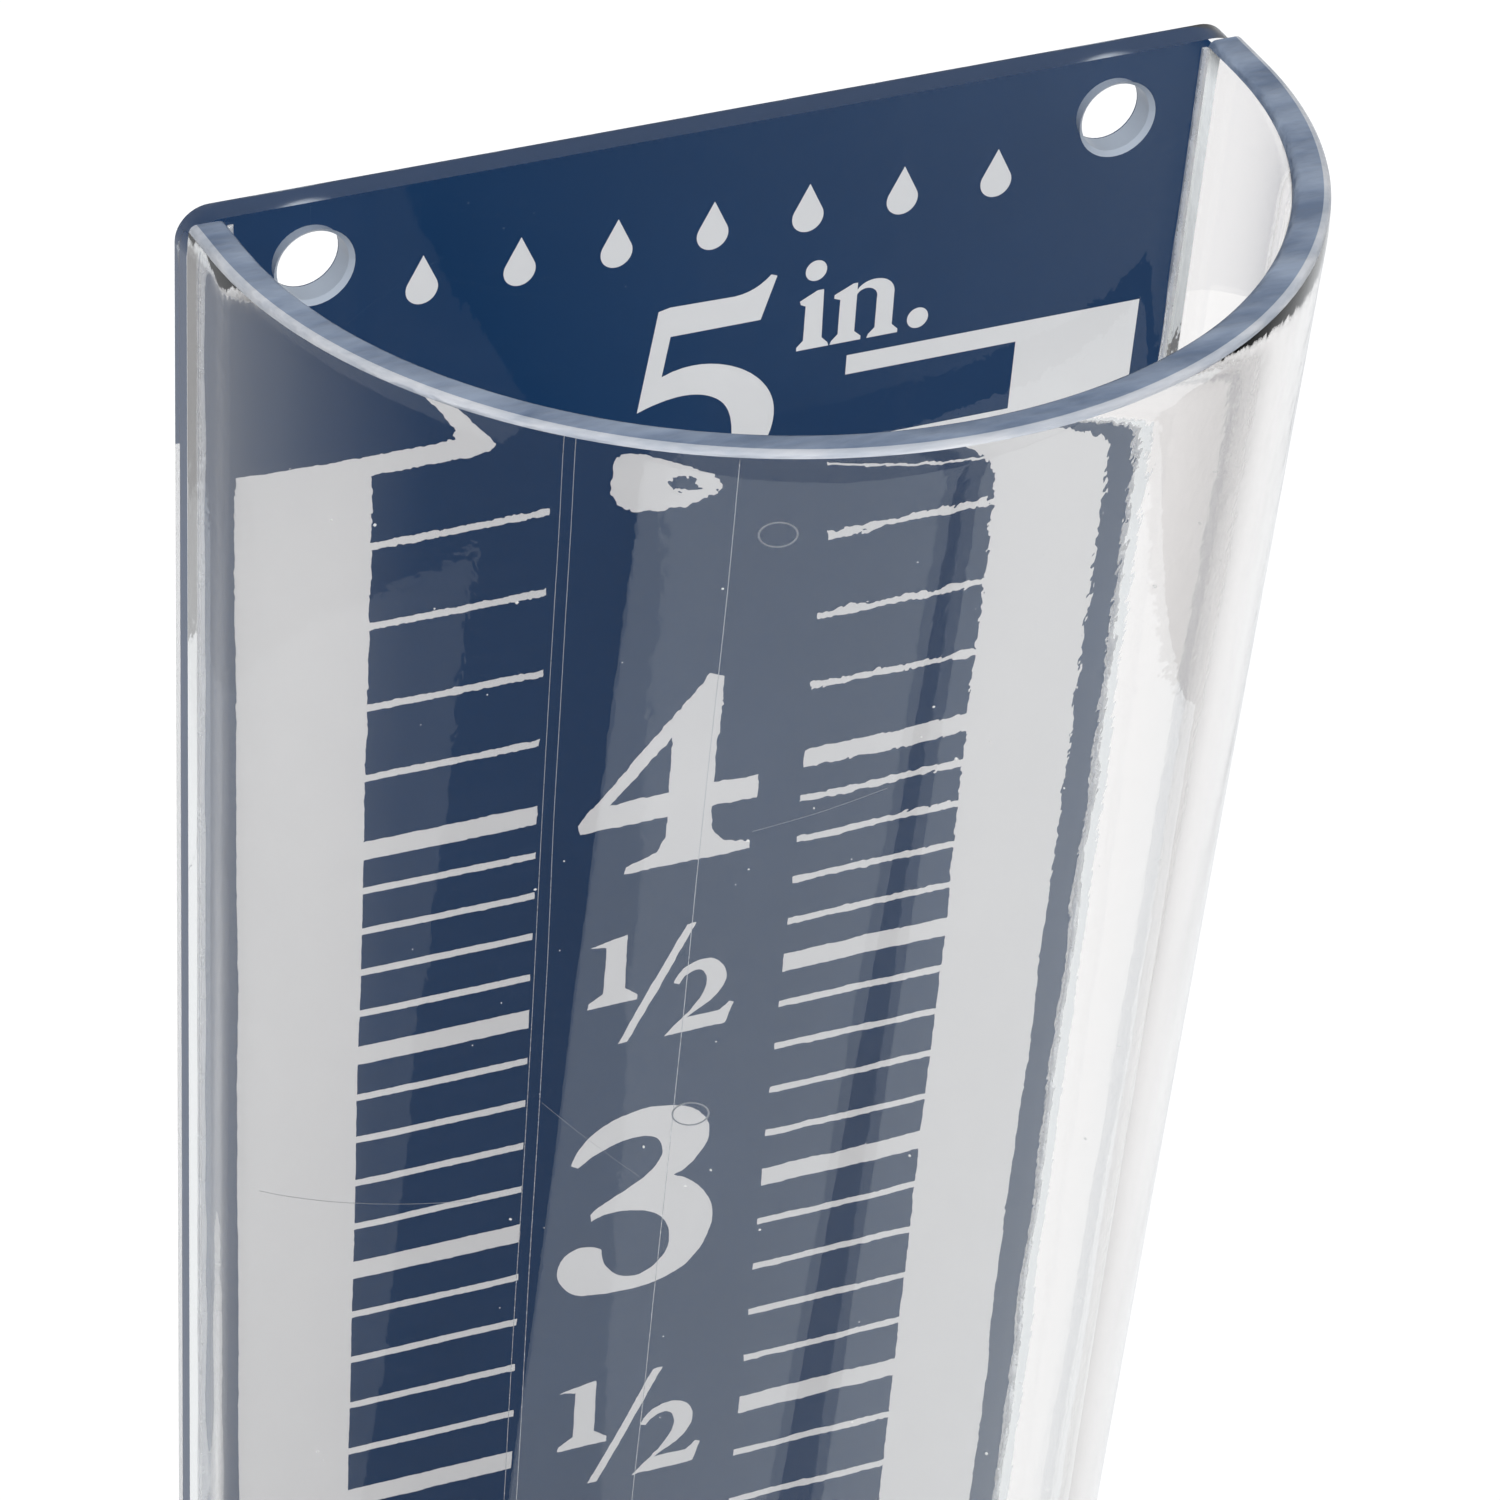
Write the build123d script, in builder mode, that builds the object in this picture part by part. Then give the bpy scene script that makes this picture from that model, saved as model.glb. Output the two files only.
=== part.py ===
from build123d import *
from math import pi
import os

# Manual rain gauge: a flat clear acrylic back plate, printed on its rear face, with a clear D-shaped
# trough cemented to its front. The trough is open at the top and tapers to a small closed bottom, so
# that the printed inch marks lie further apart than the rain they measure.
# Millimetres. +Z is up, +X is to the viewer's right, the rain gauge faces -Y and its rear face is Y = 0.
# The origin is on the rear face, midway between the two screw holes.

# Driving dimensions
height = 317.5
hole_spacing = 63.5
hole_radius = 2.75
hole_chamfer = 0.35
hole_drop = 5.4
top_half_width = 41.65
bottom_half_width = 29.9
top_depth = 43.9
bottom_depth = 11.2
plate_thickness = 2.2
wall = 3.0
flange_share = 0.09
corner_radius = 2.5
base_thickness = 9.5
cement_gap = 0.2
bead_size = 0.9
bead_start = 0.5

# Print
ink = 0.1
ground_inset = 1.3
ground_top_gap = 0.2
capacity_in = 5.0
capacity_drop = 22.9
bar_top_outer = 35.8
bar_top_inner = 25.7
bar_inner_taper = 0.024
tick_top_inner = 11.7
tick_inner_taper = 0.021
thin_mark = 0.6
thick_mark = 1.65
raindrop_count = 7
raindrop_spacing = 7.6
raindrop_radius = 1.25
raindrop_drop = 9.6
unit_baseline_drop = 20.9
big_two_size = 2.6
big_two_shift = -9.8
big_two_rise = 3.6
big_one_size = 2.7
big_one_shift = 10.2
big_one_fall = 6.5

# Worked out from them
top = hole_drop
bottom = top - height
front = -plate_thickness
floor_drop = height - base_thickness
width_taper = (top_half_width - bottom_half_width) / height
depth_taper = (top_depth - bottom_depth) / height

os.makedirs("parts", exist_ok=True)


def half_width(drop):
    """Half the width of the plate and of the trough, this far below the top edge."""
    return top_half_width - width_taper * drop


def trough_depth(drop):
    """How far the trough stands out in front of the back plate, this far below the top edge."""
    return top_depth - depth_taper * drop


def d_outline(drop, inset):
    """Closed D outline of the trough, inset from its outer face: straight flanges and half an ellipse."""
    wide = half_width(drop) - inset
    flange_end = front - flange_share * trough_depth(drop)
    nose = front - trough_depth(drop) + inset
    bow = EllipticalCenterArc((0, flange_end), wide, flange_end - nose, start_angle=180, arc_size=180)
    Polyline(bow @ 0, (-wide, front), (wide, front), bow @ 1)


def water_area(drop):
    """Area of the water's surface at this distance below the top edge."""
    wide = half_width(drop) - wall
    flange = flange_share * trough_depth(drop)
    bow_depth = trough_depth(drop) - wall - flange
    return 2 * wide * flange + pi / 2 * wide * bow_depth


def water_volume(low_drop, high_drop):
    """Water held between two levels, by Simpson's rule."""
    middle = (low_drop + high_drop) / 2
    areas = water_area(low_drop) + 4 * water_area(middle) + water_area(high_drop)
    return (low_drop - high_drop) / 6 * areas


def level_drop(inches):
    """Distance below the top edge of a rain level. The full mark is at capacity_drop, zero is the floor."""
    wanted = water_volume(floor_drop, capacity_drop) * inches / capacity_in
    high = capacity_drop
    low = floor_drop
    while low - high > 0.001:
        middle = (low + high) / 2
        if water_volume(floor_drop, middle) > wanted:
            high = middle
        else:
            low = middle
    return high


def bar_outer(drop):
    return bar_top_outer - width_taper * (drop - capacity_drop)


def bar_inner(drop):
    return bar_top_inner - bar_inner_taper * (drop - capacity_drop)


def mark_inner(drop):
    return tick_top_inner - tick_inner_taper * (drop - capacity_drop)


def digit_one(size):
    """Old-style serif 1, drawn about the middle of the fraction it belongs to."""
    with BuildSketch() as glyph:
        with BuildLine():
            Polyline((-5.9, 5.3), (-2.8, 5.8), (-2.7, 0.9), (-1.6, 0.1), (-1.6, -0.4), (-5.8, -0.4),
                     (-5.7, 0.1),
                     (-4.5, 0.8), (-4.5, 5.0), close=True)
        make_face()
        scale(by=size)
    return glyph.sketch


def digit_two(size):
    """Old-style serif 2, drawn about the middle of the fraction it belongs to."""
    with BuildSketch() as glyph:
        with BuildLine():
            Spline((1.3, 0.4), (2.6, 1.8), (4.5, 1.9), (5.8, 0.4), (5.3, -1.3), (3.9, -2.4), (2.7, -3.1))
            Polyline((2.7, -3.1), (5.4, -3.1), (6.2, -2.4), (6.6, -2.6), (6.0, -4.4), (0.8, -4.4))
            Spline((0.8, -4.4), (2.6, -2.8), (3.8, -1.4), (4.2, 0.1), (3.6, 1.1), (2.6, 1.0), (1.8, 0.2))
            Line((1.8, 0.2), (1.3, 0.4))
        make_face()
        scale(by=size)
    return glyph.sketch


def digit_three():
    with BuildSketch() as glyph:
        with BuildLine():
            Spline((-6.3, 5.3), (-4.5, 7.9), (-1.4, 9.1), (1.7, 9.0), (4.4, 7.7), (5.4, 5.6),
                   (4.6, 3.6), (2.6, 2.2))
            Spline((2.6, 2.2), (5.0, 0.4), (6.2, -2.3), (5.7, -4.8), (4.0, -6.8), (1.0, -7.8), (-4.0, -7.6))
            Spline((-4.0, -7.6), (-6.2, -6.4), (-6.9, -4.5), (-6.1, -3.1), (-4.6, -2.8), (-3.1, -3.5))
            Spline((-3.1, -3.5), (-2.6, -5.2), (-1.0, -6.5), (0.9, -6.4), (2.4, -5.0), (2.5, -3.0),
                   (1.4, -1.2),
                   (-0.6, -0.3), (-2.6, -0.1), (-4.2, -0.5))
            Line((-4.2, -0.5), (-4.3, 0.2))
            Spline((-4.3, 0.2), (-2.1, 1.5), (0.2, 2.8), (1.4, 4.4), (1.1, 5.9), (-0.6, 6.6),
                   (-3.3, 6.2), (-5.7, 4.9))
            Line((-5.7, 4.9), (-6.3, 5.3))
        make_face()
    return glyph.sketch


def digit_four():
    with BuildSketch() as glyph:
        with BuildLine():
            Polyline((2.5, 9.4), (3.8, 9.0), (3.5, -0.5), (7.2, -0.5), (7.2, -2.6), (3.5, -2.6), (3.6, -4.6),
                     (4.6, -5.8), (6.9, -6.4), (6.9, -7.1), (-3.5, -7.1), (-3.4, -6.5), (-0.9, -5.7),
                     (-0.2, -4.4),
                     (-0.2, -2.6), (-7.4, -2.6), (-7.7, -1.8), close=True)
        make_face()
        with BuildLine():
            Polyline((-0.2, 4.4), (-0.2, -0.5), (-5.0, -0.5), close=True)
        make_face(mode=Mode.SUBTRACT)
    return glyph.sketch


def digit_five():
    with BuildSketch() as glyph:
        with BuildLine():
            Polyline((-5.1, -0.7), (-3.9, 7.6), (-3.0, 7.8), (2.2, 7.7))
            Spline((2.2, 7.7), (3.8, 8.1), (5.0, 9.0))
            Polyline((5.0, 9.0), (5.5, 8.8), (4.4, 5.3), (-2.8, 5.3), (-3.3, 2.0))
            Spline((-3.3, 2.0), (-1.0, 2.5), (1.6, 2.1), (4.4, 0.5), (5.9, -1.8), (5.8, -4.6),
                   (3.9, -7.2), (0.6, -8.5),
                   (-3.8, -8.4))
            Spline((-3.8, -8.4), (-6.0, -7.4), (-6.8, -5.6), (-6.0, -4.2), (-4.5, -3.9), (-3.0, -4.6))
            Spline((-3.0, -4.6), (-2.5, -6.2), (-0.9, -7.4), (0.9, -7.2), (2.4, -5.8), (2.7, -3.6),
                   (1.9, -1.3),
                   (0.2, -0.2), (-2.4, 0.0), (-5.1, -0.7))
        make_face()
    return glyph.sketch


def half_mark():
    """The fraction one half, with a slanting bar."""
    with BuildSketch() as glyph:
        add(digit_one(1))
        add(digit_two(1))
        with BuildLine():
            Polyline((2.1, 5.6), (2.9, 5.6), (-2.2, -4.2), (-3.0, -4.2), close=True)
        make_face()
    return glyph.sketch


def unit_label():
    """The unit, in., standing on its own baseline."""
    with BuildSketch() as glyph:
        with BuildLine():
            Polyline((7.5, 0), (10.1, 0), (10.0, 0.3), (9.5, 0.8), (9.4, 4.9), (8.9, 4.9), (7.5, 4.2),
                     (7.6, 3.9),
                     (8.0, 3.7), (8.0, 0.8), (7.5, 0.3), close=True)
        make_face()
        with Locations((8.65, 6.6), (17.3, 0.9)):
            Circle(0.86)
        with BuildLine():
            Polyline((12.15, 3.9), (12.15, 0.8), (12.7, 0.3), (12.7, 0), (10.2, 0), (10.3, 0.3), (10.8, 0.8),
                     (10.8, 3.7), (10.3, 3.9), (10.3, 4.2), (11.8, 4.9), (12.15, 4.9), (12.15, 4.3))
            Spline((12.15, 4.3), (13.3, 4.95), (14.7, 4.6), (15.2, 3.4))
            Polyline((15.2, 3.4), (15.2, 0.8), (15.7, 0.3), (15.7, 0), (13.2, 0), (13.3, 0.3), (13.8, 0.8),
                     (13.8, 3.3))
            Spline((13.8, 3.3), (13.5, 4.1), (12.8, 4.3), (12.15, 3.9))
        make_face()
    return glyph.sketch


def raindrop():
    """A plain pointed drop."""
    with BuildSketch() as glyph:
        with BuildLine():
            belly = ThreePointArc((-0.9 * raindrop_radius, 0.45 * raindrop_radius), (0, -raindrop_radius),
                                  (0.9 * raindrop_radius, 0.45 * raindrop_radius))
            Polyline(belly @ 1, (0, 2.2 * raindrop_radius), belly @ 0)
        make_face()
    return glyph.sketch


# Back plate: a tapered flat sheet with rounded top corners and two screw holes, chamfered in front
with BuildPart() as back_plate:
    with BuildSketch(Plane.XZ):
        with BuildLine():
            Polyline((-top_half_width, top), (top_half_width, top), (bottom_half_width, bottom),
                     (-bottom_half_width, bottom), close=True)
        make_face()
        fillet(vertices().group_by(Axis.Y)[-1], radius=corner_radius)
        with Locations((-hole_spacing / 2, 0), (hole_spacing / 2, 0)):
            Circle(hole_radius, mode=Mode.SUBTRACT)
    extrude(amount=plate_thickness)
    hole_mouths = faces().sort_by(Axis.Y)[0].edges().filter_by(GeomType.CIRCLE)
    chamfer(hole_mouths.filter_by(lambda mouth: mouth.radius > corner_radius), length=hole_chamfer)
back_plate.part.label = "back_plate"
export_step(back_plate.part, "parts/back_plate.step")

# Front shell: one bent sheet, its two long edges butted against the front of the back plate
with BuildPart() as front_shell:
    for drop in (0, height):
        with BuildSketch(Plane.XY.offset(top - drop)):
            with BuildLine():
                d_outline(drop, 0)
            make_face()
    loft()
    for drop in (0, height):
        with BuildSketch(Plane.XY.offset(top - drop)):
            with BuildLine():
                d_outline(drop, wall)
            make_face()
    loft(mode=Mode.SUBTRACT)
front_shell.part.label = "front_shell"
export_step(front_shell.part, "parts/front_shell.step")

# Base block: closes the bottom of the trough, held in a thin film of cement
with BuildPart() as base_block:
    for drop in (0, height):
        with BuildSketch(Plane.XY.offset(top - drop)):
            with BuildLine():
                d_outline(drop, wall + cement_gap)
            make_face()
    loft()
    split(bisect_by=Plane.XY.offset(top - floor_drop), keep=Keep.BOTTOM)
base_block.part.label = "base_block"
export_step(base_block.part, "parts/base_block.step")

# Base seam: the film of cement round the block
with BuildPart() as seam_base:
    for drop in (0, height):
        with BuildSketch(Plane.XY.offset(top - drop)):
            with BuildLine():
                d_outline(drop, wall)
            make_face()
    loft()
    split(bisect_by=Plane.XY.offset(top - floor_drop), keep=Keep.BOTTOM)
    add(base_block.part, mode=Mode.SUBTRACT)
seam_base.part.label = "seam_base"
export_step(seam_base.part, "parts/seam_base.step")

# Side seams: a cement bead in each inside corner between the back plate and an edge of the shell
with BuildPart() as seam_left:
    for drop in (bead_start, floor_drop):
        corner = half_width(drop) - wall
        with BuildSketch(Plane.XY.offset(top - drop)):
            with BuildLine():
                Polyline((-corner, front), (bead_size - corner, front), (-corner, front - bead_size),
                         close=True)
            make_face()
    loft()
    add(front_shell.part, mode=Mode.SUBTRACT)
seam_left.part.label = "seam_left"
export_step(seam_left.part, "parts/seam_left.step")

with BuildPart() as seam_right:
    add(mirror(seam_left.part, about=Plane.YZ, mode=Mode.PRIVATE))
seam_right.part.label = "seam_right"
export_step(seam_right.part, "parts/seam_right.step")

# Printed scale: on each side a tapered bar with its marks, every fifth of an inch above four inches and
# every tenth below, heavier at the whole and half inches
marks = [5.0, 4.8, 4.6, 4.4, 4.2] + [tenths / 10 for tenths in range(40, 0, -1)]
# the real marks just under the full line are printed a little low
printed_low = {4.8: 0.5, 4.6: 0.9, 4.4: 1.3, 4.2: 0.6}

with BuildPart() as ink_scale:
    with BuildSketch(Plane.XZ):
        for side in (-1, 1):
            bar_start = capacity_drop - thick_mark / 2
            with BuildLine():
                Polyline(
                    (side * bar_outer(bar_start), top - bar_start), (side * bar_inner(bar_start),
                    top - bar_start),
                    (side * bar_inner(floor_drop), top - floor_drop), (side * bar_outer(floor_drop),
                    top - floor_drop),
                    close=True,
                )
            make_face()
            for inches in marks:
                drop = level_drop(inches) + printed_low.get(inches, 0)
                thick = thick_mark if round(inches * 10) % 5 == 0 else thin_mark
                inner = mark_inner(drop)
                outer = bar_inner(drop) + 1
                with Locations((side * (inner + outer) / 2, top - drop)):
                    Rectangle(outer - inner, thick)
    extrude(amount=-ink)
ink_scale.part.label = "ink_scale"
export_step(ink_scale.part, "parts/ink_scale.step")

# Printed numerals, each about its own level, and the unit
with BuildPart() as ink_numerals:
    with BuildSketch(Plane.XZ):
        with Locations((0, top - level_drop(5))):
            add(digit_five())
        with Locations((0, top - level_drop(4))):
            add(digit_four())
        with Locations((0, top - level_drop(3))):
            add(digit_three())
        with Locations((big_two_shift, top - level_drop(2) + big_two_rise)):
            add(digit_two(big_two_size))
        with Locations((big_one_shift, top - level_drop(1) - big_one_fall)):
            add(digit_one(big_one_size))
        for inches in (3.5, 2.5, 1.5, 0.5):
            with Locations((0, top - level_drop(inches))):
                add(half_mark())
        with Locations((0, top - unit_baseline_drop)):
            add(unit_label())
    extrude(amount=-ink)
ink_numerals.part.label = "ink_numerals"
export_step(ink_numerals.part, "parts/ink_numerals.step")

# Printed raindrops above the scale
with BuildPart() as ink_raindrops:
    with BuildSketch(Plane.XZ.shift_origin((0, 0, top - raindrop_drop))):
        with GridLocations(raindrop_spacing, 1, raindrop_count, 1):
            add(raindrop())
    extrude(amount=-ink)
ink_raindrops.part.label = "ink_raindrops"
export_step(ink_raindrops.part, "parts/ink_raindrops.step")

# Printed ground: the dark field behind the scale, left open where the white artwork is
with BuildPart() as ink_ground:
    with BuildSketch(Plane.XZ):
        top_edge = half_width(ground_top_gap) - ground_inset
        bottom_edge = half_width(floor_drop) - ground_inset
        with BuildLine():
            Polyline((-top_edge, top - ground_top_gap), (top_edge, top - ground_top_gap),
                     (bottom_edge, top - floor_drop), (-bottom_edge, top - floor_drop), close=True)
        make_face()
        fillet(vertices().group_by(Axis.Y)[-1], radius=corner_radius)
        with Locations((-hole_spacing / 2, 0), (hole_spacing / 2, 0)):
            Circle(hole_radius, mode=Mode.SUBTRACT)
    extrude(amount=-ink)
    add(ink_scale.part, mode=Mode.SUBTRACT)
    add(ink_numerals.part, mode=Mode.SUBTRACT)
    add(ink_raindrops.part, mode=Mode.SUBTRACT)
ink_ground.part.label = "ink_ground"
export_step(ink_ground.part, "parts/ink_ground.step")
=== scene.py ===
"""Manual rain gauge: looks, studio and camera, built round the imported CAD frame. Metres, +Z up, faces -Y."""
import math
import random

import bpy
from mathutils import Matrix, Vector, noise


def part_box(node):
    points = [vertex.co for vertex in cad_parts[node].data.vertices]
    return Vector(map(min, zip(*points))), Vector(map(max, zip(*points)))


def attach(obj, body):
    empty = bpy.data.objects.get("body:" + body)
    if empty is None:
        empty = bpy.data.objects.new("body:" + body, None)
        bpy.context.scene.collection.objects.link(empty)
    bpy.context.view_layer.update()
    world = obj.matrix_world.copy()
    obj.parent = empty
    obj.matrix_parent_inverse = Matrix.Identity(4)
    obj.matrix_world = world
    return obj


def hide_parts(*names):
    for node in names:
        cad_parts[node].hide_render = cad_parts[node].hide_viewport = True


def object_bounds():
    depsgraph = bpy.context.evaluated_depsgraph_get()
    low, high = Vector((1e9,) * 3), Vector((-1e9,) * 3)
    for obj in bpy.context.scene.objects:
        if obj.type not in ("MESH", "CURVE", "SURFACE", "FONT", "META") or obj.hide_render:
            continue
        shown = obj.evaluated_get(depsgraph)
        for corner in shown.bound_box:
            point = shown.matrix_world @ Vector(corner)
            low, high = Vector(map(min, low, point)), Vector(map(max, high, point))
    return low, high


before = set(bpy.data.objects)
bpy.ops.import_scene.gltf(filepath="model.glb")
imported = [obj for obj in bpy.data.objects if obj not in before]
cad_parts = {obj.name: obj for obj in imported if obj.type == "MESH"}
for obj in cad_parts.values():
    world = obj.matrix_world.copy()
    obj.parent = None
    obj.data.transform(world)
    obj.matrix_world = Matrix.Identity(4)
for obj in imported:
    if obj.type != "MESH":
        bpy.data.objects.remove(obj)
lowest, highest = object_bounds()

MM = 0.001

# The object, from the frame
SHELL_LOW, SHELL_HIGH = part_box("front_shell")
PLATE_LOW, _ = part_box("back_plate")
_, BASE_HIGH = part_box("base_block")
TOP = SHELL_HIGH[2]
HEIGHT = SHELL_HIGH[2] - SHELL_LOW[2]
FRONT = PLATE_LOW[1]
TOP_HALF_WIDTH = SHELL_HIGH[0]
TOP_DEPTH = FRONT - SHELL_LOW[1]
FLOOR_DROP = TOP - BASE_HIGH[2]

# The shell's other sizes. The flanges are straight, and are a share of the trough's depth
WALL = 3.0 * MM
BOTTOM_HALF_WIDTH = 29.9 * MM
BOTTOM_DEPTH = 11.2 * MM
FLANGE_SHARE = 0.09
FLANGE_TURN = 0.05
HOLE_OFFSET = 31.75 * MM
HOLE_REACH = 4.5 * MM

# The shell stands just off the plate, which shows the seam; the ink is sunk into the plate, which wets it
SEAM_GAP = 0.04 * MM
INK_CONTACT = 0.03 * MM

ACRYLIC_IOR = 1.49
SHEET_TINT = (0.955, 0.962, 0.968)
BENT_TINT = (0.945, 0.932, 0.928)
FROSTED_TINT = (0.52, 0.58, 0.66)
CARD_TINT = (0.93, 0.98, 1.0)
ROOM_TINT = (0.96, 0.98, 1.0)


def half_width(drop):
    """Half the shell's outer width, a drop below the rim."""
    return TOP_HALF_WIDTH - (TOP_HALF_WIDTH - BOTTOM_HALF_WIDTH) * drop / HEIGHT


def trough_depth(drop):
    """The shell's depth in front of the plate, a drop below the rim."""
    return TOP_DEPTH - (TOP_DEPTH - BOTTOM_DEPTH) * drop / HEIGHT


# ---------------------------------------------------------------- materials

def new_material(name):
    """A Principled material, with its nodes, links and shader."""
    material = bpy.data.materials.new(name)
    material.use_nodes = True
    nodes = material.node_tree.nodes
    links = material.node_tree.links
    shader = nodes["Principled BSDF"]
    return material, nodes, links, shader


def noise_height(nodes, links, scale, detail, stretch=(1, 1, 1)):
    """A noise value over the object, stretched along its axes."""
    coordinates = nodes.new("ShaderNodeTexCoord")
    mapping = nodes.new("ShaderNodeMapping")
    mapping.inputs["Scale"].default_value = stretch
    texture = nodes.new("ShaderNodeTexNoise")
    texture.inputs["Scale"].default_value = scale
    texture.inputs["Detail"].default_value = detail
    links.new(coordinates.outputs["Object"], mapping.inputs["Vector"])
    links.new(mapping.outputs["Vector"], texture.inputs["Vector"])
    return texture.outputs["Fac"]


def map_range(nodes, links, value, low, high, results=(0.0, 1.0)):
    """The value, carried from the range low to high onto the results."""
    ramp = nodes.new("ShaderNodeMapRange")
    ramp.inputs["From Min"].default_value = low
    ramp.inputs["From Max"].default_value = high
    ramp.inputs["To Min"].default_value = results[0]
    ramp.inputs["To Max"].default_value = results[1]
    links.new(value, ramp.inputs["Value"])
    return ramp


def mix_colours(nodes, links, factor, first, second):
    """A colour between two."""
    mix = nodes.new("ShaderNodeMix")
    mix.data_type = "RGBA"
    mix.inputs["A"].default_value = (*first, 1)
    mix.inputs["B"].default_value = (*second, 1)
    links.new(factor, mix.inputs["Factor"])
    return mix.outputs["Result"]


def position(nodes, links, space="Object"):
    """The point's three coordinates, apart."""
    coordinates = nodes.new("ShaderNodeTexCoord")
    split = nodes.new("ShaderNodeSeparateXYZ")
    links.new(coordinates.outputs[space], split.inputs["Vector"])
    return split.outputs


def add_bump(nodes, links, shader, height, distance):
    """Bend the shader's normal by a height."""
    bump = nodes.new("ShaderNodeBump")
    bump.inputs["Distance"].default_value = distance
    links.new(height, bump.inputs["Height"])
    links.new(bump.outputs["Normal"], shader.inputs["Normal"])
    return bump


def clear_acrylic(name, tint, wave_scale, wave_height, stretch=(1, 1, 1), ripple=0.0):
    """Clear acrylic with slow waves in its surface, and a finer ripple that grows towards the rim."""
    material, nodes, links, shader = new_material(name)
    shader.inputs["Base Color"].default_value = (*tint, 1)
    shader.inputs["Transmission Weight"].default_value = 1
    shader.inputs["Roughness"].default_value = 0
    shader.inputs["IOR"].default_value = ACRYLIC_IOR
    height = noise_height(nodes, links, wave_scale, 2, stretch)
    waves = add_bump(nodes, links, shader, height, wave_height)
    if ripple:
        fine = nodes.new("ShaderNodeBump")
        level = position(nodes, links)["Z"]
        rising = map_range(nodes, links, level, TOP - 45 * MM, TOP - 4 * MM, (ripple, 4 * ripple))
        links.new(rising.outputs["Result"], fine.inputs["Distance"])
        links.new(noise_height(nodes, links, 800, 2, (1, 1, 0.8)), fine.inputs["Height"])
        links.new(fine.outputs["Normal"], waves.inputs["Normal"])
    return material


def drilled_sheet(name):
    """The plate: clear faces, a dull sawn top edge and frosted drilled holes."""
    material, nodes, links, shader = new_material(name)
    shader.inputs["IOR"].default_value = ACRYLIC_IOR
    place = position(nodes, links)
    geometry = nodes.new("ShaderNodeNewGeometry")
    facing = nodes.new("ShaderNodeSeparateXYZ")
    links.new(geometry.outputs["Normal"], facing.inputs["Vector"])

    def calculate(operation, *values):
        step = nodes.new("ShaderNodeMath")
        step.operation = operation
        for socket, value in zip(step.inputs, values):
            if isinstance(value, (int, float)):
                socket.default_value = value
            else:
                links.new(value, socket)
        return step.outputs["Value"]

    aside = calculate("SUBTRACT", calculate("ABSOLUTE", place["X"]), HOLE_OFFSET)
    square = calculate("ADD", calculate("MULTIPLY", aside, aside), calculate("MULTIPLY", place["Z"], place["Z"]))
    near_hole = calculate("LESS_THAN", calculate("SQRT", square), HOLE_REACH)
    cut = calculate("LESS_THAN", calculate("ABSOLUTE", facing.outputs["Y"]), 0.9)
    drilled = calculate("MULTIPLY", cut, near_hole)
    sawn = calculate("GREATER_THAN", facing.outputs["Z"], 0.5)
    links.new(mix_colours(nodes, links, drilled, SHEET_TINT, FROSTED_TINT), shader.inputs["Base Color"])
    clear = calculate("SUBTRACT", 1.0, calculate("MULTIPLY", drilled, 0.7))
    links.new(clear, shader.inputs["Transmission Weight"])
    dull = calculate("MAXIMUM", calculate("MULTIPLY", drilled, 0.35), calculate("MULTIPLY", sawn, 0.3))
    links.new(dull, shader.inputs["Roughness"])
    add_bump(nodes, links, shader, noise_height(nodes, links, 30, 2), 0.006 * MM)
    return material


def polished_edge(name, dark, light):
    """The cut rim: half cloudy, streaked where it was polished. Given pale tones on the outer fillet, it paints
    a highlight line there.
    """
    material, nodes, links, shader = new_material(name)
    streaks = noise_height(nodes, links, 330, 5, (0.35, 1, 3))
    contrast = map_range(nodes, links, streaks, 0.36, 0.64)
    tone = mix_colours(nodes, links, contrast.outputs["Result"], dark, light)
    links.new(tone, shader.inputs["Base Color"])
    shader.inputs["Transmission Weight"].default_value = 0.3
    shader.inputs["Roughness"].default_value = 0.25
    shader.inputs["IOR"].default_value = ACRYLIC_IOR
    add_bump(nodes, links, shader, streaks, 0.5 * MM)
    return material


def printed_ink(name, dark, light, grain):
    """Screen-printed ink: a slightly uneven film."""
    material, nodes, links, shader = new_material(name)
    film = mix_colours(nodes, links, noise_height(nodes, links, grain, 6), dark, light)
    links.new(film, shader.inputs["Base Color"])
    shader.inputs["Roughness"].default_value = 0.55
    shader.inputs["Specular IOR Level"].default_value = 0.1
    return material


def cement_material():
    """Set solvent cement: cloudy in blotches, glossy between."""
    material, nodes, links, shader = new_material("set_cement")
    shader.inputs["Base Color"].default_value = (0.9, 0.91, 0.93, 1)
    shader.inputs["IOR"].default_value = ACRYLIC_IOR
    shader.inputs["Transmission Weight"].default_value = 0.75
    clouds = noise_height(nodes, links, 400, 4)
    cloudiness = map_range(nodes, links, clouds, 0.4, 0.65, (0.15, 0.6))
    links.new(cloudiness.outputs["Result"], shader.inputs["Roughness"])
    add_bump(nodes, links, shader, clouds, 0.3 * MM)
    return material


def scratch_material(name, colour, transmission):
    """Light caught on a scratch, a mark or a grain of dust; on the long lines down from the rim, a painted
    reflection.
    """
    material, nodes, links, shader = new_material(name)
    shader.inputs["Base Color"].default_value = (*colour, 1)
    shader.inputs["Roughness"].default_value = 0.4
    shader.inputs["Transmission Weight"].default_value = transmission
    add_bump(nodes, links, shader, noise_height(nodes, links, 900, 3), 0.05 * MM)
    return material


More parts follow.
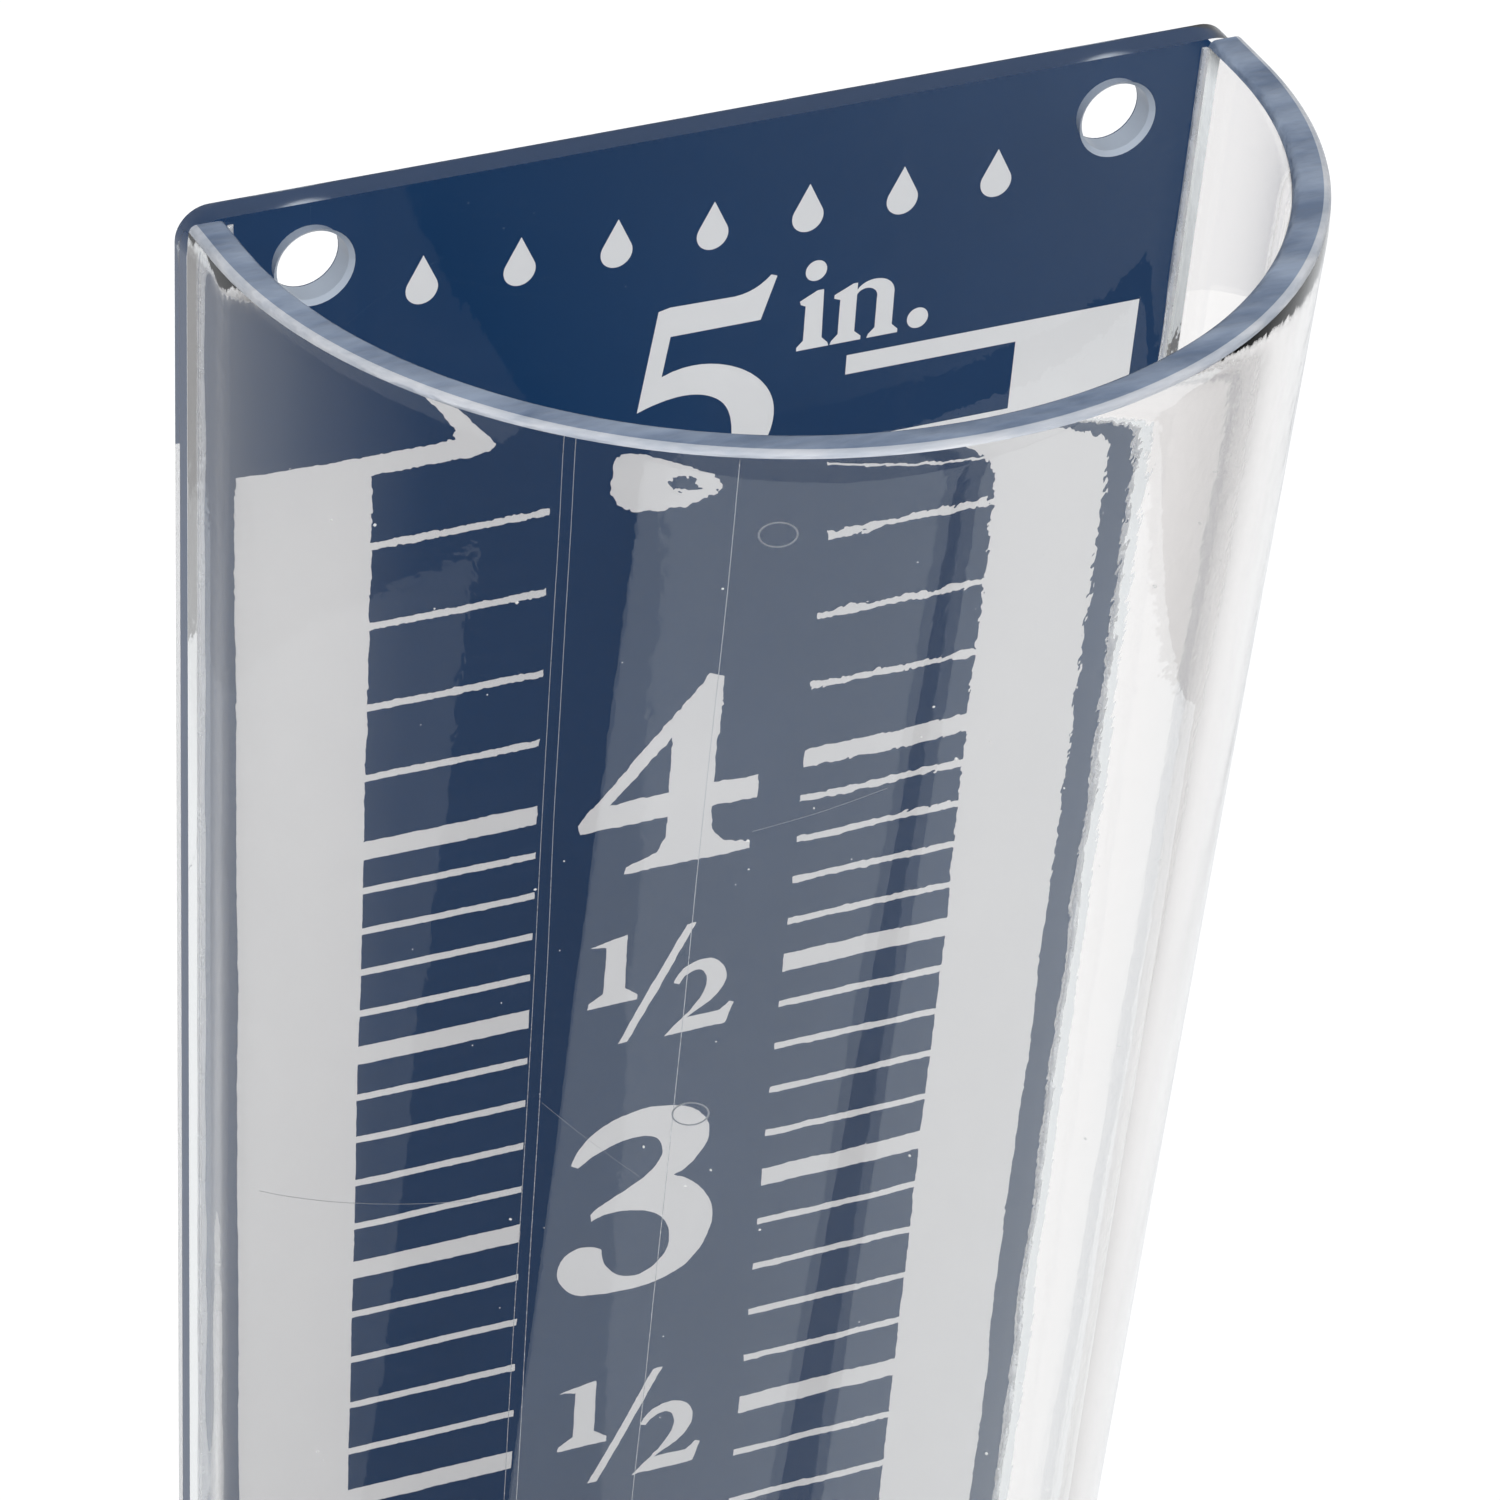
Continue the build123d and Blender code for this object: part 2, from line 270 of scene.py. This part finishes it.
SHEET = clear_acrylic("clear_sheet", SHEET_TINT, 30, 0.006 * MM)
DRILLED_SHEET = drilled_sheet("clear_drilled_sheet")
BENT_SHEET = clear_acrylic("clear_bent_sheet", BENT_TINT, 70, 0.045 * MM, (1, 1, 0.4), 0.0015 * MM)
POLISHED_EDGE = polished_edge("polished_edge", (0.15, 0.21, 0.33), (0.36, 0.44, 0.58))
# Pale copy of the rim material for the outer rounded edge: a painted highlight line along the outside of the
# rim.
FILLET_PAINTED_HIGHLIGHT = polished_edge("fillet_painted_highlight", (0.52, 0.57, 0.66), (0.80, 0.82, 0.87))
BLUE_INK = printed_ink("blue_ink", (0.005, 0.031, 0.092), (0.010, 0.046, 0.128), 40)
WHITE_INK = printed_ink("white_ink", (0.77, 0.77, 0.775), (0.8, 0.8, 0.8), 300)
CEMENT = cement_material()
# Pale ridge material: scratches, and painted reflection lines on the long lines down from the rim.
SCRATCH_AND_REFLECTION_LINE = scratch_material("scratch_and_painted_reflection", (0.6, 0.64, 0.7), 0.6)
FAINT_MARK = scratch_material("faint_mark", (0.8, 0.83, 0.88), 0.9)
DUST = scratch_material("dust", (0.9, 0.9, 0.9), 0.0)


# ---------------------------------------------------------------- pieces

def link_object(name, mesh):
    """A new object in the scene."""
    piece = bpy.data.objects.new(name, mesh)
    bpy.context.scene.collection.objects.link(piece)
    return piece


def add_piece(name, vertices, faces, materials, smooth=True):
    """A mesh piece of the gauge, riding on the only body."""
    mesh = bpy.data.meshes.new(name)
    mesh.from_pydata(vertices, [], faces)
    mesh.validate()
    mesh.polygons.foreach_set("use_smooth", [smooth] * len(mesh.polygons))
    if smooth:
        mesh.set_sharp_from_angle(angle=math.radians(35))
    for material in materials:
        mesh.materials.append(material)
    piece = link_object(name, mesh)
    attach(piece, "root")
    return piece


def let_light_through(piece):
    """Lamps reach the print behind clear pieces."""
    piece.visible_shadow = False


def trough_point(drop, inset, turn):
    """A point of the D section. turn runs from 0 at the left back edge, through 0.5 at the nose, to 1."""
    wide = half_width(drop) - inset
    flange = FLANGE_SHARE * trough_depth(drop)
    bow = trough_depth(drop) - inset - flange
    back = FRONT - SEAM_GAP
    if turn < FLANGE_TURN:
        return (-wide, back - (flange - SEAM_GAP) * turn / FLANGE_TURN)
    if turn > 1 - FLANGE_TURN:
        return (wide, back - (flange - SEAM_GAP) * (1 - turn) / FLANGE_TURN)
    angle = math.pi * (turn - FLANGE_TURN) / (1 - 2 * FLANGE_TURN)
    return (-wide * math.cos(angle), FRONT - flange - bow * math.sin(angle))


def tube_faces(rings, count):
    """Faces between each ring of vertices and the next, and one face to close each end."""
    faces = []
    for row in range(rings - 1):
        here = row * count
        for step in range(count):
            following = (step + 1) % count
            faces.append((here + step, here + following, here + count + following, here + count + step))
    faces.append(tuple(range(count - 1, -1, -1)))
    faces.append(tuple((rings - 1) * count + step for step in range(count)))
    return faces


def shell_ring(rows, edge_radius, arc_steps):
    """The wall cut lengthwise: each point's drop, its inset, and whether it lies on the rim's rounded edges."""
    rolled = 3.0 * MM
    outer_roll = 0.22 * MM
    inner_roll = 0.12 * MM
    drops = [edge_radius + (HEIGHT - edge_radius) * (row / rows) ** 2.4 for row in range(rows + 1)]
    ring = []
    for drop in drops:
        ring.append((drop, outer_roll * max(0.0, 1 - drop / rolled) ** 2, 0))
    for drop in reversed(drops):
        ring.append((drop, WALL - inner_roll * max(0.0, 1 - drop / rolled) ** 2, 0))
    rolled_share = (1 - edge_radius / rolled) ** 2
    for step in range(1, arc_steps + 1):
        angle = math.pi / 2 * step / arc_steps
        inset = WALL - inner_roll * rolled_share - edge_radius * (1 - math.cos(angle))
        ring.append((edge_radius * (1 - math.sin(angle)), inset, 1))
    for step in range(arc_steps):
        angle = math.pi / 2 * (1 - step / arc_steps)
        inset = outer_roll * rolled_share + edge_radius * (1 - math.cos(angle))
        ring.append((edge_radius * (1 - math.sin(angle)), inset, 1))
    return ring


def build_shell():
    """The bent front sheet, with a rounded, slightly uneven polished rim."""
    columns = 161
    rows = 60
    arc_steps = 6
    ring = shell_ring(rows, 0.6 * MM, arc_steps)
    rim_start = 2 * (rows + 1)
    count = len(ring)
    vertices = []
    for column in range(columns):
        turn = column / (columns - 1)
        for drop, inset, on_rim in ring:
            across, along = trough_point(drop, inset, turn)
            sag = 0.0
            if on_rim:
                wobble = noise.noise(Vector((across * 55, along * 55, 0.3)))
                sag = 0.12 * MM * (1 + wobble)
            vertices.append((across, along, TOP - drop - sag))
    faces = tube_faces(columns, count)
    shell = add_piece("front_shell_clear", vertices, faces, [BENT_SHEET, POLISHED_EDGE, FILLET_PAINTED_HIGHLIGHT])
    for polygon in shell.data.polygons[:(columns - 1) * count]:
        step = polygon.index % count
        # The outer rounded edge takes the pale copy of the rim material: a painted highlight line under the rim.
        if step >= count - arc_steps:
            polygon.material_index = 2
        elif step >= rim_start - 1:
            polygon.material_index = 1
    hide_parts("front_shell")
    let_light_through(shell)


def build_ink(node, material):
    """A printed layer, in optical contact with the back of the plate."""
    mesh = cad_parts[node].data.copy()
    for vertex in mesh.vertices:
        vertex.co.y -= INK_CONTACT
    mesh.materials.clear()
    mesh.materials.append(material)
    piece = link_object(node + "_print", mesh)
    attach(piece, "root")
    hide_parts(node)


def build_bead(node, side):
    """The cement bead in one inside corner: a hollow fillet that runs a little uneven."""
    steps = 150
    across_steps = 5
    leg = 0.6 * MM
    clear = 0.03 * MM
    vertices = []
    for row in range(steps + 1):
        drop = 0.6 * MM + (FLOOR_DROP - 0.9 * MM) * row / steps
        corner = half_width(drop) - WALL - clear
        size = leg * (0.72 + 0.26 * noise.noise(Vector((side * 3.0, 0, drop * 140))))
        vertices.append((side * corner, FRONT - clear, TOP - drop))
        for step in range(across_steps + 1):
            angle = math.pi / 2 * step / across_steps
            across = corner - size * math.cos(angle)
            along = FRONT - clear - size * math.sin(angle)
            vertices.append((side * across, along, TOP - drop))
    faces = tube_faces(steps + 1, across_steps + 2)
    bead = add_piece(node + "_bead", vertices, faces, [CEMENT])
    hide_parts(node)
    let_light_through(bead)


def build_hairline(name, turns, drops, width):
    """A hair-thin pale ridge on the inside of the trough: a scratch where it runs across, a painted reflection
    line where it runs down from the rim.
    """
    steps = 60
    lift = WALL + 0.05 * MM
    runs_across = abs(turns[1] - turns[0]) > 0.03
    vertices = []
    for step in range(steps + 1):
        share = step / steps
        drop = drops[0] + (drops[1] - drops[0]) * share
        here = turns[0] + (turns[1] - turns[0]) * share
        here += 0.0008 * noise.noise(Vector((turns[0] * 50, drop * 60, share * 3)))
        for inset, aside in ((lift, 0), (lift, width), (lift + width, width / 2)):
            across, along = trough_point(drop, inset, here + aside / half_width(drop) / 2)
            vertices.append((across, along, TOP - drop - (aside if runs_across else 0)))
    add_piece(name, vertices, tube_faces(steps + 1, 3), [SCRATCH_AND_REFLECTION_LINE])


def build_witness(name, turn, drop, radius):
    """A faint round mark where the sheet was held while it was bent."""
    steps = 32
    vertices = []
    faces = []
    for step in range(steps):
        angle = 2 * math.pi * step / steps
        for inset in (WALL + 0.04 * MM, WALL + 0.07 * MM):
            for size in (1.0, 0.9):
                height = drop + radius * size * math.sin(angle)
                here = turn + radius * size * math.cos(angle) / half_width(drop) / 2.6
                across, along = trough_point(height, inset, here)
                vertices.append((across, along, TOP - height))
    for step in range(steps):
        low = 4 * step
        high = 4 * ((step + 1) % steps)
        for near, far in ((0, 1), (1, 3), (3, 2), (2, 0)):
            faces.append((low + near, low + far, high + far, high + near))
    add_piece(name, vertices, faces, [FAINT_MARK])


def build_specks():
    """Dust specks caught on the inside of the trough."""
    draw = random.Random(7)
    vertices = []
    faces = []
    for _ in range(150):
        drop = draw.uniform(8, 150) * MM
        turn = draw.uniform(0.1, 0.9)
        size = draw.choice((0.05, 0.06, 0.08, 0.13)) * MM
        across, along = trough_point(drop, WALL + 0.2 * MM, turn)
        centre = Vector((across, along, TOP - drop))
        first = len(vertices)
        for axis in (Vector((1, 0, 0)), Vector((0, 1, 0)), Vector((0, 0, 1))):
            stretch = draw.uniform(0.7, 1.3)
            vertices.append(centre + axis * size * stretch)
            vertices.append(centre - axis * size * stretch)
        for x in (0, 1):
            for y in (2, 3):
                for z in (4, 5):
                    face = (first + x, first + y, first + z)
                    faces.append(face if (x + y + z) % 2 == 0 else face[::-1])
    add_piece("dust_specks", vertices, faces, [DUST], smooth=False)


build_shell()
build_ink("ink_ground", BLUE_INK)
build_ink("ink_scale", WHITE_INK)
build_ink("ink_numerals", WHITE_INK)
build_ink("ink_raindrops", WHITE_INK)
build_bead("seam_left", -1)
build_bead("seam_right", 1)
# The three long lines down from the rim are painted reflection lines: pale ridges drawn where reflected edges
# show in the wall.
build_hairline("painted_reflection_left_outer", (0.283, 0.302), (1 * MM, 130 * MM), 0.03 * MM)
build_hairline("painted_reflection_left_inner", (0.289, 0.308), (1 * MM, 115 * MM), 0.03 * MM)
build_hairline("painted_reflection_middle", (0.372, 0.378), (2 * MM, 130 * MM), 0.03 * MM)
build_hairline("scratch_low_left", (0.10, 0.27), (78 * MM, 70 * MM), 0.03 * MM)
build_hairline("scratch_middle", (0.30, 0.36), (60 * MM, 66 * MM), 0.025 * MM)
build_hairline("scratch_right", (0.40, 0.47), (34 * MM, 31 * MM), 0.025 * MM)
build_witness("witness_high", 0.395, 8 * MM, 1.1 * MM)
build_witness("witness_low", 0.385, 60 * MM, 1.1 * MM)
build_specks()

for node, material in (("back_plate", DRILLED_SHEET), ("base_block", SHEET), ("seam_base", CEMENT)):
    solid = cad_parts[node]
    solid.data.materials.clear()
    solid.data.materials.append(material)
    let_light_through(solid)


# ---------------------------------------------------------------- studio

def emitting(name, colour):
    """A material that glows evenly."""
    material = bpy.data.materials.new(name)
    material.use_nodes = True
    nodes = material.node_tree.nodes
    links = material.node_tree.links
    nodes.clear()
    glow = nodes.new("ShaderNodeEmission")
    glow.inputs["Color"].default_value = (*colour, 1)
    glow.inputs["Strength"].default_value = 1
    output = nodes.new("ShaderNodeOutputMaterial")
    links.new(glow.outputs["Emission"], output.inputs["Surface"])
    return material, nodes, links, glow


def add_stage(name, outline, level, material):
    """A flat panel of the studio."""
    corners = [(across, along, level) for across, along in outline]
    mesh = bpy.data.meshes.new(name)
    mesh.from_pydata(corners, [], [tuple(range(len(corners)))])
    mesh.materials.append(material)
    piece = link_object(name, mesh)
    return piece


def add_card(name, outline, level, material):
    """A glowing card that only reflections and light through the acrylic see."""
    card = add_stage(name, outline, level, material)
    card.visible_camera = False
    card.visible_diffuse = False


def build_floor():
    """A floor that glows in a painted pool of light behind the gauge, and the cards that lie just over it."""
    level = lowest[2] - 5 * MM
    reach = 6.0
    material, nodes, links, glow = emitting("floor_painted_light_pool", (1, 1, 1))
    coordinates = nodes.new("ShaderNodeTexCoord")
    from_pool = nodes.new("ShaderNodeVectorMath")
    from_pool.operation = "DISTANCE"
    from_pool.inputs[1].default_value = (0.24, 0.40, level)
    links.new(coordinates.outputs["Object"], from_pool.inputs[0])
    # Painted pool of light: the floor only glows, strongest near a point behind the gauge and falling to a dim
    # grey beyond; it takes no light and no shadows.
    pool = map_range(nodes, links, from_pool.outputs["Value"], 0.26, 0.46, (1.08, 0.2))
    pool.interpolation_type = "SMOOTHSTEP"
    links.new(pool.outputs["Result"], glow.inputs["Strength"])
    outline = [(-reach, -reach), (reach, -reach), (reach, reach), (-reach, reach)]
    floor = add_stage("floor", outline, level, material)
    floor.visible_glossy = False

    card_level = level + 1 * MM
    white_card, _, _, _ = emitting("white_card", CARD_TINT)
    add_card("left_card", [(-0.346, -0.42), (0.172, -0.42), (-0.035, -0.03)], card_level, white_card)
    add_card("right_card", [(0.211, -0.42), (0.40, -0.42), (0.40, 0.05), (0.031, 0.05), (-0.005, 0.005)],
             card_level, white_card)
    side_card, nodes, links, glow = emitting("side_card", CARD_TINT)
    fade = map_range(nodes, links, position(nodes, links)["X"], 0.20, 0.34)
    links.new(fade.outputs["Result"], glow.inputs["Strength"])
    add_card("side_card", [(0.20, -0.60), (0.45, -0.60), (0.45, -0.43), (0.20, -0.43)], card_level, side_card)


def build_lights():
    """A room that is dim below the horizon in front and bright behind, and one soft lamp for the print."""
    world = bpy.data.worlds.new("pale_room")
    bpy.context.scene.world = world
    world.use_nodes = True
    nodes = world.node_tree.nodes
    links = world.node_tree.links
    direction = position(nodes, links, "Generated")
    below = map_range(nodes, links, direction["Y"], -0.05, 0.5, (0.04, 0.95))
    above = map_range(nodes, links, direction["Z"], -0.05, 0.15)
    room = nodes.new("ShaderNodeMix")
    room.inputs["B"].default_value = 0.45
    links.new(above.outputs["Result"], room.inputs["Factor"])
    links.new(below.outputs["Result"], room.inputs["A"])
    background = nodes["Background"]
    background.inputs["Color"].default_value = (*ROOM_TINT, 1)
    links.new(room.outputs["Result"], background.inputs["Strength"])
    key = bpy.data.lights.new("key", "AREA")
    key.shape = "DISK"
    key.size = 0.5
    key.energy = 15.0
    lamp = link_object("key", key)
    lamp.location = (-0.3, -1.0, 0.8)
    towards = Vector((0, 0, -0.08)) - Vector(lamp.location)
    lamp.rotation_euler = towards.to_track_quat("-Z", "Y").to_euler()
    lamp.visible_glossy = False
    lamp.visible_transmission = False


def build_camera():
    """A long lens from the front left, above the rim, tipped a few degrees."""
    azimuth = math.radians(-28.06)
    elevation = math.radians(33.46)
    roll = math.radians(4.47)
    distance = 0.6744
    aim = Vector((-0.00386, -0.020, TOP - 0.04117))
    back = Vector((math.sin(azimuth) * math.cos(elevation), -math.cos(azimuth) * math.cos(elevation),
                   math.sin(elevation)))
    level = Vector((math.cos(azimuth), math.sin(azimuth), 0))
    upright = back.cross(level)
    right = level * math.cos(roll) + upright * math.sin(roll)
    up = upright * math.cos(roll) - level * math.sin(roll)
    data = bpy.data.cameras.new("camera")
    data.sensor_width = 36
    data.lens = 225.3
    data.clip_start = 0.01
    data.clip_end = 50
    camera = link_object("camera", data)
    turn = Matrix((right, up, back)).transposed().to_4x4()
    camera.matrix_world = Matrix.Translation(aim + back * distance) @ turn
    bpy.context.scene.camera = camera


build_floor()
build_lights()
build_camera()

scene = bpy.context.scene
scene.view_settings.view_transform = "Standard"
scene.cycles.max_bounces = 24
scene.cycles.transmission_bounces = 24
